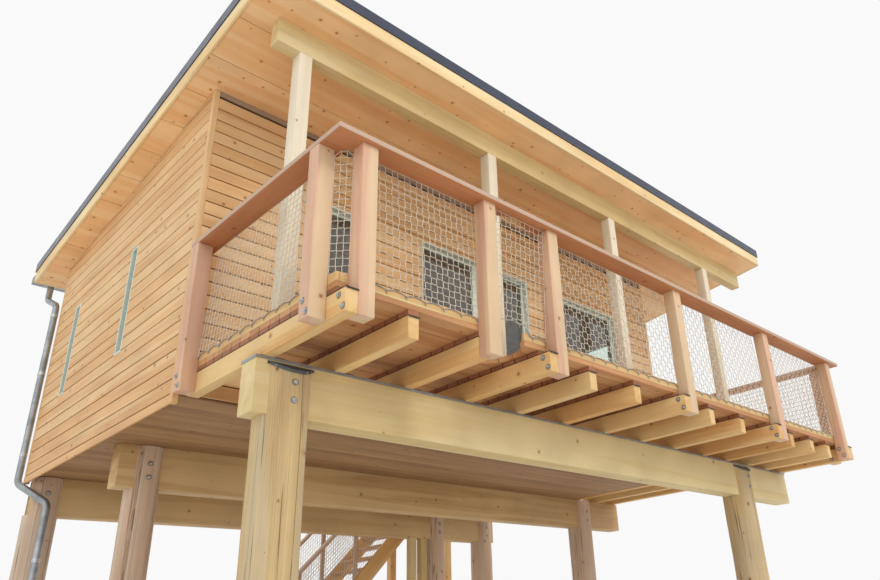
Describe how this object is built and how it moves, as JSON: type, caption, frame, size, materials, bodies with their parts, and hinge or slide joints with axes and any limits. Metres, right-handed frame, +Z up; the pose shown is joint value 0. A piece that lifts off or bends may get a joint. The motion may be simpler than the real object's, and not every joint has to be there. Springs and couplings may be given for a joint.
{
  "type": "tree house",
  "caption": "Timber cabin on log posts with a netted balcony, a sloping roof and a rear stair; the balcony deck is cut out for a trunk",
  "frame": {"origin": "centre of the bounding box, on the ground under the logs", "axes": "+Z up, balcony front faces -Y, +X along the front to the right"},
  "size_m": [9.12, 7.782, 7.3567],
  "materials": {
    "beam_wood": "planed spruce",
    "cap_wood": "planed fir, pinkish",
    "cladding": "fine sawn boards",
    "deck_wood": "sawn larch",
    "door_wood": "planed boards",
    "edge_metal": "satin, near black",
    "fascia_wood": "planed boards",
    "floor_wood": "planed panel",
    "frame_white": "light painted wood",
    "glass": "clear",
    "joist_wood": "planed spruce",
    "log_wood": "dry peeled log with fine cracks",
    "net": "knotted cord",
    "packer_wood": "sawn larch",
    "post_wood": "planed fir, pinkish",
    "roofing": "matt sheet",
    "soffit_wood": "planed panel with knots",
    "toe_wood": "planed spruce",
    "zinc": "dull zinc grey"
  },
  "bodies": {
    "root": {"log_front_left": "log_wood", "log_front_right": "log_wood", "log_mid_left": "log_wood", "log_mid_right": "log_wood", "log_rear_left": "log_wood", "log_rear_mid": "log_wood", "log_rear_right": "log_wood", "squared_posts": "beam_wood", "beam_front": "beam_wood", "beam_mid": "beam_wood", "beam_rear": "beam_wood", "flashing": "zinc", "joists": "joist_wood", "packers": "packer_wood", "deck": "deck_wood", "toe_front": "toe_wood", "toe_sides": "toe_wood", "rail_posts": "post_wood", "cap_front": "cap_wood", "cap_sides": "cap_wood", "net_front": "net", "net_west": "net", "net_east": "net", "cabin_floor": "floor_wood", "wall_front": "cladding", "wall_west": "cladding", "wall_east": "cladding", "wall_rear": "cladding", "frames": "frame_white", "glass": "glass", "rear_door": "door_wood", "roof_panel": "soffit_wood", "fascia": "fascia_wood", "roof_edge": "edge_metal", "roofing": "roofing", "eaves_beam": "beam_wood", "roof_posts": "beam_wood", "gutter": "zinc", "downpipe": "zinc", "stringers": "joist_wood", "treads": "deck_wood", "landing": "deck_wood", "landing_posts": "joist_wood", "stair_rail": "cap_wood", "stair_nets": "net"}
  },
  "joints": []
}
